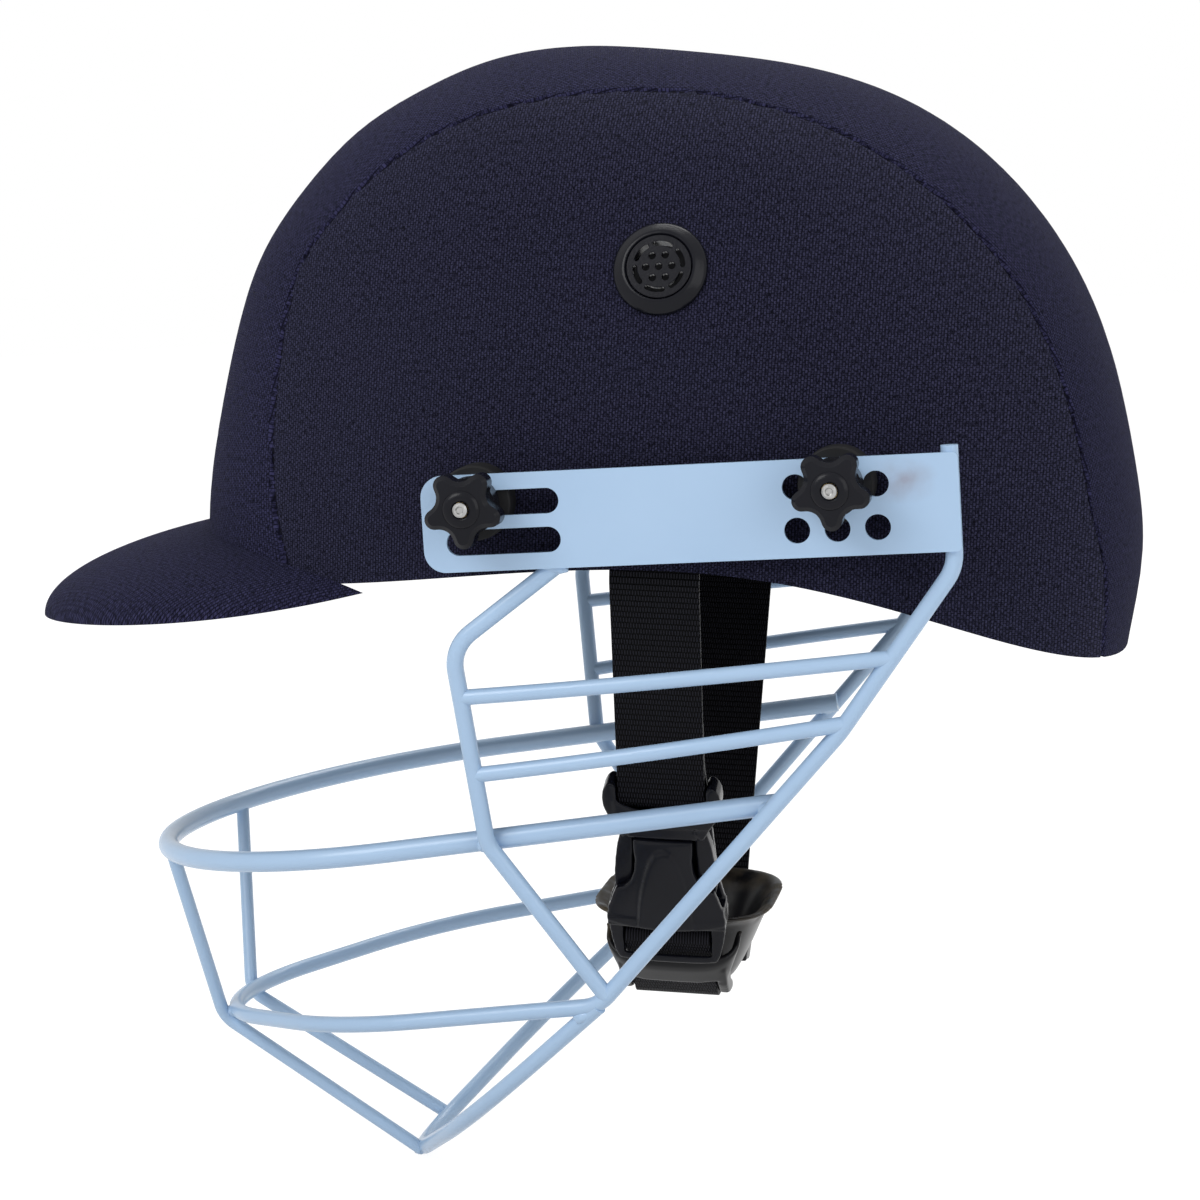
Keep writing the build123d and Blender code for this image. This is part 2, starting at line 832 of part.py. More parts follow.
# Rivets that carry the strap: a shank sunk into the shell, a collar and an inner head
strap_inside = strap_side - web / 2
rivet_end = -pivot_point.Y - rivet_cover
with BuildPart() as strap_rivet:
    with BuildSketch(Plane.XZ.offset(strap_inside - running_gap - rivet_head_wall)):
        with Locations((pivot_x, pivot_z)):
            Circle(rivet_shank)
    extrude(amount=rivet_end - strap_inside + running_gap + rivet_head_wall)
    with BuildSketch(Plane.XZ.offset(strap_inside - running_gap)):
        with Locations((pivot_x, pivot_z)):
            Circle(rivet_head)
    extrude(amount=-rivet_head_wall)
    with BuildPart(mode=Mode.PRIVATE) as collar:
        with BuildSketch(Plane.XZ.offset(strap_inside + web + running_gap)):
            with Locations((pivot_x, pivot_z)):
                Circle(rivet_collar)
        extrude(amount=wall_gap)
        add(shell_inside, mode=Mode.INTERSECT)
    add(collar.part)
save_pair(strap_rivet.part, "strap_rivet")


# Buckle, drawn face on: x across the webbing, y up it from the bar of the plug, z outwards
plug_at = hang.from_local_coords((-plug_bar.X, plug_bar.Y, 0))
up_strap = hang.from_local_coords((taut.X, -taut.Y, 0)) - hang.origin
buckle = Plane(plug_at, x_dir=hang.z_dir, z_dir=hang.z_dir.cross(up_strap))
rail = (plug_width - web_width) / 2 - 2 * running_gap

with BuildPart() as buckle_plug:
    with BuildSketch(buckle):
        with Locations((0, plug_rise - plug_length / 2)):
            Rectangle(plug_width, plug_length)
        with Locations((0, plug_rise - plug_slot)):
            Rectangle(plug_width - 2 * rail, 2 * plug_slot, mode=Mode.SUBTRACT)
        with Locations((0, plug_rise - plug_length - plug_neck / 2)):
            Rectangle(plug_shoulder, plug_neck)
        with Locations((0, plug_rise - plug_length - plug_neck - tongue_length / 2)):
            Rectangle(tongue_width, tongue_length)
    extrude(amount=bar_radius, both=True)
    with BuildSketch(Plane(plug_at, x_dir=buckle.y_dir, z_dir=hang.z_dir)):
        Circle(bar_radius)
    extrude(amount=plug_width / 2, both=True)
save(buckle_plug.part, "buckle_plug")

# Latch arms: two springs on one foot, each with a pad that fills its window in the socket
arm_top = plug_rise - plug_length - plug_neck
pad_middle = arm_top - arm_length + window_length / 2
with BuildPart() as latch_arms:
    with BuildSketch(buckle):
        for side in (-1, 1):
            with Locations((side * (plug_shoulder - arm_width) / 2, arm_top - arm_length / 2)):
                Rectangle(arm_width, arm_length)
            with Locations((side * (arm_pad - arm_width / 2), pad_middle)):
                Rectangle(arm_width, window_length - 2 * running_gap)
    extrude(amount=arm_wall / 2, both=True)
save(latch_arms.part, "latch_arms")

mouth = -mouth_drop
socket_low = mouth - socket_length
cavity_low = mouth - socket_cavity
half, waist = socket_width / 2, socket_waist / 2
outline = [(half, mouth), (half, cavity_low), (waist, socket_low)]
slot_top = cavity_low - socket_skin
slot_low = socket_low - overrun
with BuildPart() as buckle_socket:
    with BuildSketch(buckle):
        Polygon(*outline, *[(-x, y) for x, y in outline[::-1]], align=None)
    extrude(amount=bar_radius, both=True)
    with BuildSketch(buckle):
        with Locations((0, (mouth + slot_top) / 2)):
            RectangleRounded(socket_width, socket_cavity + socket_skin, radius=socket_skin)
    extrude(amount=socket_wall / 2, both=True)
    fillet(buckle_socket.faces().sort_by(Axis(plug_at, buckle.z_dir))[-1].edges(), socket_skin)
    with BuildSketch(buckle):
        with Locations((0, (mouth + cavity_low) / 2)):
            Rectangle(socket_width - 2 * socket_skin, socket_cavity)
        with Locations((0, pad_middle)):
            Rectangle(2 * socket_width, window_length)
    extrude(amount=arm_wall / 2 + running_gap, both=True, mode=Mode.SUBTRACT)
    with BuildSketch(buckle):
        with Locations((0, (slot_top + slot_low) / 2)):
            Rectangle(web_width + 2 * running_gap, slot_top - slot_low)
    extrude(amount=socket_wall, both=True, mode=Mode.SUBTRACT)
    bar_at = plug_at - buckle.y_dir * bar_to_bar
    with BuildSketch(Plane(bar_at, x_dir=buckle.y_dir, z_dir=hang.z_dir)):
        Circle(bar_radius)
    extrude(amount=waist, both=True)
save(buckle_socket.part, "buckle_socket")


# Chin cup: a shallow tray with a flared rim, held on the webbing by two bridges
def cup_outline(depth, half_length, half_width):
    """A rounded outline of the cup at one depth."""
    level = Plane(hang.origin - hang.y_dir * depth, x_dir=hang.x_dir, z_dir=hang.y_dir)
    with BuildSketch(level) as section:
        RectangleRounded(2 * half_length, 2 * half_width, radius=half_width * cup_corner_share)
    return section.sketch


top_half = cup_half_length - cup_flare
top_width = cup_half_width - cup_flare
flare_low = cup_rim + cup_flare / 2
floor_top = cup_floor - cup_wall
bridge_high = -cup_floor + running_gap
bridge_low = -cup_floor - 2 * web - cup_flare_wall
with BuildPart() as chin_cup:
    neck = cup_outline(flare_low, top_half, top_width)
    loft([cup_outline(cup_floor, cup_floor_half, cup_floor_width), neck], ruled=True)
    loft([neck, cup_outline(cup_rim, cup_half_length, cup_half_width)], ruled=True)
    hollow = cup_outline(flare_low, top_half - cup_wall, top_width - cup_wall)
    hollow_floor = cup_outline(floor_top, cup_floor_half - cup_wall, cup_floor_width - cup_wall)
    hollow_rim = cup_outline(cup_rim, cup_half_length - cup_wall, cup_half_width - cup_wall)
    loft([hollow_floor, hollow], ruled=True, mode=Mode.SUBTRACT)
    loft([hollow, hollow_rim], ruled=True, mode=Mode.SUBTRACT)
    for side in (-1, 1):
        with BuildSketch(hang):
            with Locations((side * cup_bridge_at, (bridge_high + bridge_low) / 2)):
                Rectangle(cup_bridge, bridge_high - bridge_low)
        extrude(amount=web_width / 2 + running_gap + cup_flare_wall, both=True)
    with BuildSketch(hang):
        with Locations((0, -cup_floor - web)):
            Rectangle(2 * cup_half_length, 2 * web)
    extrude(amount=web_width / 2 + running_gap, both=True, mode=Mode.SUBTRACT)
save(chin_cup.part, "chin_cup")
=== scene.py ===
import math

import bmesh
import bpy
from mathutils import Matrix, Vector, noise


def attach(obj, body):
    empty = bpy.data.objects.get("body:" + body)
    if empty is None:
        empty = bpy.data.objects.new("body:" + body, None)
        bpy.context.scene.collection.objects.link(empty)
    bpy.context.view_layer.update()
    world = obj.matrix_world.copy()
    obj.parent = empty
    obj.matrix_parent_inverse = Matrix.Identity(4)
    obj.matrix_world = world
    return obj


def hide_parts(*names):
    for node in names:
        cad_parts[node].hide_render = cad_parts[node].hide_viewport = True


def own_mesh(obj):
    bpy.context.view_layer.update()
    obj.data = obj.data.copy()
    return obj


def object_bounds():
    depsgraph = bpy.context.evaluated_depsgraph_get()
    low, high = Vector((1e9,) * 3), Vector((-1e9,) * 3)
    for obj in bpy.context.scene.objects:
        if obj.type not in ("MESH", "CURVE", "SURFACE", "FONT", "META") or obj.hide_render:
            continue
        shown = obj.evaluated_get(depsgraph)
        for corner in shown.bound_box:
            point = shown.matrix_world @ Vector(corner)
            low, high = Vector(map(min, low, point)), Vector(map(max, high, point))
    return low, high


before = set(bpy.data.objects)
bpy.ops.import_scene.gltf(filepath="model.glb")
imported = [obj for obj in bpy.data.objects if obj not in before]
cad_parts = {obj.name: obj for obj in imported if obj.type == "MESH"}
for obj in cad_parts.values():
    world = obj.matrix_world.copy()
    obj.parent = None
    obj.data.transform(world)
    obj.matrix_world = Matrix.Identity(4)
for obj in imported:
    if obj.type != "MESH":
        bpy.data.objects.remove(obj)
solid_low, solid_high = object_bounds()
mm = 0.001

# The shell is moulded plastic with navy knitted cloth bonded over it in three panels: a wide
# strip from brow to nape and one panel on each side. The strip is sewn to the panels, and each
# seam is pulled down into a shallow groove.


def copy_of(node, name, body):
    """A merged copy of a CAD node that stands for it and rides on its body."""
    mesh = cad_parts[node].data.copy()
    mesh.name = name
    mesh.materials.clear()
    bm = bmesh.new()
    bm.from_mesh(mesh)
    bmesh.ops.remove_doubles(bm, verts=bm.verts, dist=0.02 * mm)
    bmesh.ops.dissolve_degenerate(bm, edges=bm.edges, dist=0.01 * mm)
    bm.to_mesh(mesh)
    bm.free()
    piece = bpy.data.objects.new(name, mesh)
    bpy.context.scene.collection.objects.link(piece)
    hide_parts(node)
    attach(piece, body)
    return piece


def smooth_below(piece, degrees):
    """Smooth shading across every edge that turns less than this."""
    bm = bmesh.new()
    bm.from_mesh(piece.data)
    for face in bm.faces:
        face.smooth = True
    for edge in bm.edges:
        edge.smooth = len(edge.link_faces) == 2 and edge.calc_face_angle(0) < math.radians(degrees)
    bm.to_mesh(piece.data)
    bm.free()


def round_edges(piece, radius, degrees=35, steps=2):
    """A live bevel along the sharp edges of a moulded or coated piece."""
    bevel = piece.modifiers.new("rounded", "BEVEL")
    bevel.width = radius
    bevel.segments = steps
    bevel.limit_method = "ANGLE"
    bevel.angle_limit = math.radians(degrees)


def finish(name, colour, rough, metal=0.0, gloss=0.5):
    """A plain finish: its material, nodes, links and shader."""
    material = bpy.data.materials.new(name)
    material.use_nodes = True
    nodes = material.node_tree.nodes
    shader = nodes["Principled BSDF"]
    shader.inputs["Base Color"].default_value = (*colour, 1)
    shader.inputs["Roughness"].default_value = rough
    shader.inputs["Metallic"].default_value = metal
    shader.inputs["Specular IOR Level"].default_value = gloss
    return material, nodes, material.node_tree.links, shader


def tones(nodes, links, shader, factor, dark, light):
    """The shader's colour, between a dark and a light tone."""
    tone = nodes.new("ShaderNodeMix")
    tone.data_type = "RGBA"
    tone.inputs["A"].default_value = (*dark, 1)
    tone.inputs["B"].default_value = (*light, 1)
    links.new(factor, tone.inputs["Factor"])
    links.new(tone.outputs["Result"], shader.inputs["Base Color"])
    return tone


def relief(nodes, links, shader, height, depth):
    """Bump on the shader from a height between 0 and 1."""
    bump = nodes.new("ShaderNodeBump")
    bump.inputs["Strength"].default_value = 1
    bump.inputs["Distance"].default_value = depth
    links.new(height, bump.inputs["Height"])
    links.new(bump.outputs["Normal"], shader.inputs["Normal"])
    return bump


def piece_from(bm, name, body, nodes_replaced, material, smooth=35):
    """A finished piece from a bmesh: merged, faces out, smooth and riding on its body."""
    bmesh.ops.remove_doubles(bm, verts=bm.verts, dist=0.005 * mm)
    bmesh.ops.recalc_face_normals(bm, faces=bm.faces)
    mesh = bpy.data.meshes.new(name)
    bm.to_mesh(mesh)
    bm.free()
    piece = bpy.data.objects.new(name, mesh)
    bpy.context.scene.collection.objects.link(piece)
    if nodes_replaced:
        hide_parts(*nodes_replaced)
    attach(piece, body)
    smooth_below(piece, smooth)
    mesh.materials.append(material)
    return piece


def textured(nodes, links, kind, scale, detail=None, vector=None):
    """A pattern on the piece's Object coordinates, or on another map where one is given."""
    pattern = nodes.new(f"ShaderNodeTex{kind}")
    pattern.inputs["Scale"].default_value = scale
    if detail is not None:
        pattern.inputs["Detail"].default_value = detail
    if vector is None:
        vector = nodes.new("ShaderNodeTexCoord").outputs["Object"]
    links.new(vector, pattern.inputs["Vector"])
    return pattern


def remapped(nodes, links, value, span=(0, 1), onto=(0, 1)):
    """A value taken from one span on to another, and held inside it."""
    reach = nodes.new("ShaderNodeMapRange")
    for socket, number in zip(("From Min", "From Max", "To Min", "To Max"), (*span, *onto)):
        reach.inputs[socket].default_value = number
    links.new(value, reach.inputs["Value"])
    return reach.outputs["Result"]


def worked_out(nodes, links, operation, *terms):
    """A sum on other nodes' values and plain numbers."""
    step = nodes.new("ShaderNodeMath")
    step.operation = operation
    for socket, term in zip(step.inputs, terms):
        if isinstance(term, bpy.types.NodeSocket):
            links.new(term, socket)
        else:
            socket.default_value = term
    return step.outputs[0]


def yarn_rows(nodes, links, vector, length, height, gap):
    """Staggered rows of stitches in millimetres: 1 on a stitch, falling to 0 in the gaps."""
    rows = textured(nodes, links, "Brick", 1, vector=vector)
    rows.offset = 0.5
    rows.inputs["Brick Width"].default_value = length
    rows.inputs["Row Height"].default_value = height
    rows.inputs["Mortar Size"].default_value = gap
    rows.inputs["Mortar Smooth"].default_value = 1
    return worked_out(nodes, links, "SUBTRACT", 1, rows.outputs["Fac"])


def knit(name, dark, light):
    """Navy knit: columns of small stitches on the piece's own map, which is in millimetres."""
    material, nodes, links, shader = finish(name, light, 0.85, gloss=0.06)
    shader.inputs["Sheen Weight"].default_value = 0.045
    shader.inputs["Sheen Roughness"].default_value = 0.4
    shader.inputs["Sheen Tint"].default_value = (0.5, 0.55, 0.95, 1)
    cloth_map = nodes.new("ShaderNodeUVMap")
    cloth_map.uv_map = "weave"
    upright = nodes.new("ShaderNodeMapping")
    upright.inputs["Rotation"].default_value = (0, 0, math.radians(-84))
    drawn_out = nodes.new("ShaderNodeMapping")
    drawn_out.inputs["Scale"].default_value = (1.7, 0.8, 1)
    for mapping in (upright, drawn_out):
        links.new(cloth_map.outputs["UV"], mapping.inputs["Vector"])
    stitches = yarn_rows(nodes, links, upright.outputs["Vector"], 1.2, 0.82, 0.22)
    slubs = textured(nodes, links, "Noise", 0.85, 3, drawn_out.outputs["Vector"])
    slubs.inputs["Roughness"].default_value = 0.75
    uneven = remapped(nodes, links, slubs.outputs["Fac"], (0.36, 0.7), (0, 1.5))
    yarn = worked_out(nodes, links, "MULTIPLY", stitches, uneven)
    cloudy = textured(nodes, links, "Noise", 22, 3)
    tint = worked_out(nodes, links, "MULTIPLY_ADD", cloudy.outputs["Fac"], 0.08, yarn)
    tones(nodes, links, shader, tint, dark, light)
    relief(nodes, links, shader, yarn, 0.45 * mm)
    return material


side_knit = knit("navy_knit_sides", (0.0004, 0.0004, 0.0025), (0.05, 0.05, 0.105))
strip_knit = knit("navy_knit_strip", (0.0004, 0.0004, 0.003), (0.047, 0.046, 0.118))

# each run: x from and to, z from and to, half width at the origin, its slope along x and along z
seam_runs = [
    (-200, 20, 88, 200, 54.4, 0, 0),
    (-200, 20, -100, 88, 71.6, 0, -0.195),
    (20, 80, -100, 200, 52.7, 0.085, 0),
    (80, 200, 5, 200, 59.5, 0, 0),
    (80, 200, -100, 5, 57.85, 0, 0.33),
]


def seam_at(place):
    """How far the seam stands from the middle of the helmet at this place."""
    x, z = place.x / mm, place.z / mm
    for x_from, x_to, z_from, z_to, half, along_x, along_z in seam_runs:
        if x_from <= x <= x_to and z_from <= z <= z_to:
            return (half + along_x * x + along_z * z) * mm
    return 0


# in millimetres: how near a seam a face is cut, and the circle that the strip's map follows
seam_reach = 30
crown_x, crown_z, crown_radius = 10, 20, 115
groove = 1.2 * mm
groove_depth = 0.8 * mm
shell = copy_of("outer_shell", "shell_and_cloth", "helmet")
bm = bmesh.new()
bm.from_mesh(shell.data)
for x_from, x_to, z_from, z_to, half, along_x, along_z in seam_runs:
    for side in (-1, 1):
        for shift in (-groove, 0, groove):
            near = set()
            for face in bm.faces:
                x, y, z = face.calc_center_median() / mm
                if not (x_from <= x <= x_to and z_from <= z <= z_to and y * side > 0):
                    continue
                if abs(abs(y) - half - along_x * x - along_z * z) < seam_reach:
                    near.add(face)
                    near.update(face.edges)
                    near.update(face.verts)
            bmesh.ops.bisect_plane(
                bm,
                geom=list(near),
                dist=0.001 * mm,
                plane_co=(0, side * (half * mm + shift), 0),
                plane_no=Vector((-side * along_x, 1, -side * along_z)).normalized(),
            )
bm.normal_update()
middle = Vector((0, 0, 20 * mm))
stitched_above = -30 * mm
on_seam = 0.03 * mm
seam_line = {-1: [], 1: []}
for vert in bm.verts:
    outside = vert.normal.dot(vert.co - middle) > 0.01
    if outside and abs(abs(vert.co.y) - seam_at(vert.co)) < on_seam:
        vert.co -= vert.normal * groove_depth
        if vert.co.z > stitched_above:
            seam_line[1 if vert.co.y > 0 else -1].append((vert.co.copy(), vert.normal.copy()))
layer = bm.loops.layers.uv.new("weave")
for face in bm.faces:
    centre = face.calc_center_median()
    on_strip = abs(centre.y) < seam_at(centre)
    face.material_index = 1 if on_strip else 0
    for loop in face.loops:
        place = loop.vert.co / mm
        round_it = math.atan2(place.x - crown_x, place.z - crown_z) * crown_radius
        loop[layer].uv = (place.y, round_it) if on_strip else (place.x, place.z)
bm.to_mesh(shell.data)
bm.free()
smooth_below(shell, 50)
shell.data.materials.append(side_knit)
shell.data.materials.append(strip_knit)

thread, nodes, links, shader = finish("seam_thread", (0.003, 0.003, 0.006), 0.8, gloss=0.1)
twist = textured(nodes, links, "Noise", 2500)
tones(nodes, links, shader, twist.outputs["Fac"], (0.001, 0.001, 0.002), (0.007, 0.007, 0.013))
stitch_step, stitch_length, stitch_thick = 2.6 * mm, 1.8 * mm, 0.46 * mm
stitch_lift = 0.12 * mm
least_run = 4 * mm
seam_centre_z = 10 * mm
bm = bmesh.new()
for side, line in seam_line.items():
    line.sort(key=lambda point: math.atan2(point[0].x, point[0].z - seam_centre_z))
    spaced = line[:1]
    for point in line:
        if (point[0] - spaced[-1][0]).length > least_run:
            spaced.append(point)
    line = spaced
    run = 0
    for (start, normal), (end, _) in zip(line, line[1:]):
        length = (end - start).length
        while run < length:
            centre = start.lerp(end, run / max(length, 1e-9)) + normal * stitch_lift
            along = (end - start).normalized()
            dash = bmesh.ops.create_uvsphere(bm, u_segments=8, v_segments=6, radius=0.5)["verts"]
            size = Matrix.Diagonal((stitch_thick, stitch_thick, stitch_length, 1))
            turn = along.to_track_quat("Z", "Y").to_matrix().to_4x4()
            bmesh.ops.transform(bm, matrix=Matrix.Translation(centre) @ turn @ size, verts=dash)
            run += stitch_step
        run -= length
piece_from(bm, "seam_stitches", "helmet", [], thread, 180)

# The peak is a domed board in the same cloth, turned in along its edge and fixed under the brow,
# where the cloth gathers in a few soft tucks.
peak = copy_of("peak", "peak_and_cloth", "helmet")
tuck_depth = 0.5 * mm
peak_root = -118 * mm
tuck_fade = 60 * mm
tuck_rate_x, tuck_rate_y = 30, 90
bm = bmesh.new()
bm.from_mesh(peak.data)
for vert in bm.verts:
    near_root = max(0, min(1, (vert.co.x - peak_root) / tuck_fade))
    tuck = noise.noise(Vector((vert.co.x * tuck_rate_x, vert.co.y * tuck_rate_y, 0)))
    vert.co += vert.normal * tuck * tuck_depth * near_root
bm.to_mesh(peak.data)
bm.free()
layer = peak.data.uv_layers.new(name="weave")
for loop in peak.data.loops:
    place = peak.data.vertices[loop.vertex_index].co / mm
    layer.data[loop.index].uv = (place.y, place.x)
smooth_below(peak, 40)
peak.data.materials.append(strip_knit)

# The liner is a moulded foam ring high in the shell, with softer pads below it and on the crown:
# foam sewn into black brushed lining, glued in place.
lining, nodes, links, shader = finish("brushed_lining", (0.012, 0.012, 0.014), 0.95, gloss=0.1)
shader.inputs["Sheen Weight"].default_value = 0.15
nap = textured(nodes, links, "Noise", 900, 4)
tones(nodes, links, shader, nap.outputs["Fac"], (0.006, 0.006, 0.007), (0.022, 0.022, 0.025))
relief(nodes, links, shader, nap.outputs["Fac"], 0.15 * mm)

foam, nodes, links, shader = finish("moulded_foam", (0.02, 0.02, 0.022), 0.9, gloss=0.15)
beads = textured(nodes, links, "Voronoi", 420)
tones(nodes, links, shader, beads.outputs["Distance"], (0.016, 0.016, 0.018), (0.03, 0.03, 0.032))
relief(nodes, links, shader, beads.outputs["Distance"], 0.2 * mm)


def evaluated(piece):
    """The piece's mesh with its modifiers applied."""
    graph = bpy.context.evaluated_depsgraph_get()
    return bpy.data.meshes.new_from_object(piece.evaluated_get(graph))


pad_grid = 4 * mm
drawn_in_share = 0.6
foam_pressure = 4
swell_frames = 20


def cushion(node, name, swell):
    """A foam pad: the CAD block, remeshed, drawn in a little, then blown up again by cloth."""
    piece = copy_of(node, name, "helmet")
    grid = piece.modifiers.new("grid", "REMESH")
    grid.mode = "VOXEL"
    grid.voxel_size = pad_grid
    mesh = evaluated(piece)
    piece.modifiers.clear()
    piece.data = mesh
    bm = bmesh.new()
    bm.from_mesh(mesh)
    for _ in range(3):
        bmesh.ops.smooth_vert(
            bm, verts=bm.verts, factor=0.5, use_axis_x=True, use_axis_y=True, use_axis_z=True
        )
    for vert in bm.verts:
        vert.co -= vert.normal * swell * drawn_in_share
    bm.to_mesh(mesh)
    bm.free()
    start = [v.co.copy() for v in mesh.vertices]
    cloth = piece.modifiers.new("cloth", "CLOTH")
    cloth.settings.use_pressure = True
    cloth.settings.uniform_pressure_force = foam_pressure
    cloth.settings.effector_weights.gravity = 0
    cloth.point_cache.frame_end = swell_frames
    for step in range(1, swell_frames + 1):
        bpy.context.scene.frame_set(step)
    blown = evaluated(piece)
    for vert, low in zip(mesh.vertices, start):
        move = blown.vertices[vert.index].co - low
        vert.co = low + move * min(1, swell / max(move.length, 1e-9))
    piece.modifiers.clear()
    bpy.context.scene.frame_set(1)
    finer = piece.modifiers.new("finer", "SUBSURF")
    finer.levels = finer.render_levels = 1
    for face in mesh.polygons:
        face.use_smooth = True
    return piece


for node in ("brow_pad", "nape_pad", "left_ear_pad", "right_ear_pad", "crown_pad"):
    pad = cushion(node, "soft_" + node, 1.2 * mm)
    pad.data.materials.append(lining)

liner = cushion("upper_liner", "foam_ring", 0.4 * mm)
liner.data.materials.append(foam)

# Each side vent is a black moulded bezel, pressed through the shell, with a raised rounded ring.
# A pierced disc snaps on to its ledge: a ring of holes, then a ring of curved slots.
black, nodes, links, shader = finish("black_moulding", (0.006, 0.006, 0.007), 0.3, gloss=0.16)
grain = textured(nodes, links, "Noise", 1600, 3)
handled = textured(nodes, links, "Noise", 60)
shine = remapped(nodes, links, handled.outputs["Fac"], onto=(0.13, 0.3))
links.new(shine, shader.inputs["Roughness"])
tones(
    nodes, links, shader, handled.outputs["Fac"], (0.0035, 0.0038, 0.0065), (0.0085, 0.009, 0.0135)
)
relief(nodes, links, shader, grain.outputs["Fac"], 0.03 * mm)


def dressed(node, name, body, material, smooth=30, bevel=None):
    """A copy of a CAD node with its edges rounded and its finish on."""
    piece = copy_of(node, name, body)
    smooth_below(piece, smooth)
    if bevel:
        round_edges(piece, *bevel)
    piece.data.materials.append(material)
    return piece


def turned(bm, profile, steps=64):
    """A ring turned about the z axis, from a closed profile of (radius, height)."""
    verts = [bm.verts.new((radius * mm, 0, height * mm)) for radius, height in profile]
    edges = [bm.edges.new(pair) for pair in zip(verts, verts[1:] + verts[:1])]
    bmesh.ops.spin(
        bm, geom=verts + edges, cent=(0, 0, 0), axis=(0, 0, 1), angle=math.tau,
        steps=steps, use_merge=True,
    )


vent_normal = Vector((-0.0042, -0.9440, 0.3298))
vent_across = Vector((1, 0, 0))
vent_middle = Vector((13, -91.16, 81.5)) * mm
bezel_profile = [
    (9.05, -4.0), (9.05, -1.5), (13.1, -1.5), (13.1, 0.4), (12.85, 0.9), (12.2, 1.4), (11.3, 2.05),
    (10.5, 2.65), (9.95, 2.95), (9.5, 2.95), (9.2, 2.6), (9.05, 2.0), (9.0, 1.2), (7.9, 1.2),
    (7.9, -4.0),
]


def facing(middle, normal, across, mirrored=False):
    """The place whose z axis is the normal, mirrored to the right side where asked."""
    across = (across - normal * across.dot(normal)).normalized()
    turn = Matrix((across, normal.cross(across), normal)).transposed().to_4x4()
    place = Matrix.Translation(middle) @ turn
    return Matrix.Diagonal((1, -1, 1, 1)) @ place if mirrored else place


disc_edge = 0.18 * mm
for side, mirrored in (("left", False), ("right", True)):
    at = facing(vent_middle, vent_normal, vent_across, mirrored)
    bm = bmesh.new()
    turned(bm, bezel_profile)
    bmesh.ops.transform(bm, matrix=at, verts=bm.verts)
    bezel = f"{side}_vent_bezel"
    piece_from(bm, f"{side}_vent_ring", "helmet", [bezel], black, 40)
    dressed(
        f"{side}_vent_disc", f"{side}_vent_screen", "helmet", black,
        bevel=(disc_edge,),
    )

# The side plates are pressed steel, slotted at the front and pierced at the back, in powder blue
# coating. The coating is thick at the edges, and rubbed brown behind the left rear knob.


def coating(name, rubbed=False):
    """Powder blue gloss coating, slightly uneven, with a rubbed patch on one plate."""
    paint, nodes, links, shader = finish(name, (0.40, 0.56, 0.76), 0.27, gloss=0.5)
    flow = textured(nodes, links, "Noise", 160, 2)
    patches = textured(nodes, links, "Noise", 28, 4)
    shade = tones(
        nodes, links, shader, patches.outputs["Fac"], (0.365, 0.525, 0.735), (0.42, 0.58, 0.785)
    )
    relief(nodes, links, shader, flow.outputs["Fac"], 0.12 * mm)
    if rubbed:
        place = nodes.new("ShaderNodeTexCoord")
        spot = nodes.new("ShaderNodeMapping")
        spot.vector_type = "TEXTURE"
        spot.inputs["Location"].default_value = (0.078, -0.1095, 0.0225)
        spot.inputs["Scale"].default_value = (0.017, 0.02, 0.0125)
        reach = nodes.new("ShaderNodeTexGradient")
        reach.gradient_type = "QUADRATIC_SPHERE"
        links.new(place.outputs["Object"], spot.inputs["Vector"])
        links.new(spot.outputs["Vector"], reach.inputs["Vector"])
        scratches = textured(nodes, links, "Noise", 150, 5)
        scratched = (reach.outputs["Fac"], scratches.outputs["Fac"])
        worn = worked_out(nodes, links, "MULTIPLY", *scratched)
        dirt = nodes.new("ShaderNodeMix")
        dirt.data_type = "RGBA"
        dirt.inputs["B"].default_value = (0.27, 0.235, 0.28, 1)
        sharp = remapped(nodes, links, worn, (0.1, 0.5), (0, 0.6))
        links.new(sharp, dirt.inputs["Factor"])
        links.new(shade.outputs["Result"], dirt.inputs["A"])
        links.new(dirt.outputs["Result"], shader.inputs["Base Color"])
    return paint


paint = coating("powder_blue")
rubbed_paint = coating("powder_blue_rubbed", rubbed=True)
plate_edge = 0.4 * mm
for side, cover in (("left", rubbed_paint), ("right", paint)):
    dressed(
        f"{side}_side_plate", f"{side}_coated_plate", "helmet", cover,
        bevel=(plate_edge, 40, 3),
    )

# The guard's wires are bent steel rods under the same coating. Each is coped or lapped on to the
# next and welded, and the weld beads stand out as smooth lumps under the coating.
wires = ["main_wire", "upper_ring", "chin_hoop"]
wires += [f"{s}_{w}" for s in ("left", "right") for w in ("cheek_bar", "upper_bar", "lower_bar")]
wires += ["left_front_strut", "right_front_strut"]
for node in wires:
    dressed(node, f"coated_{node}", "helmet", paint, smooth=45)

bead_spread_share = 0.6
bead_lump_share = 0.16
lump_rate, lump_step = 1.7, 400
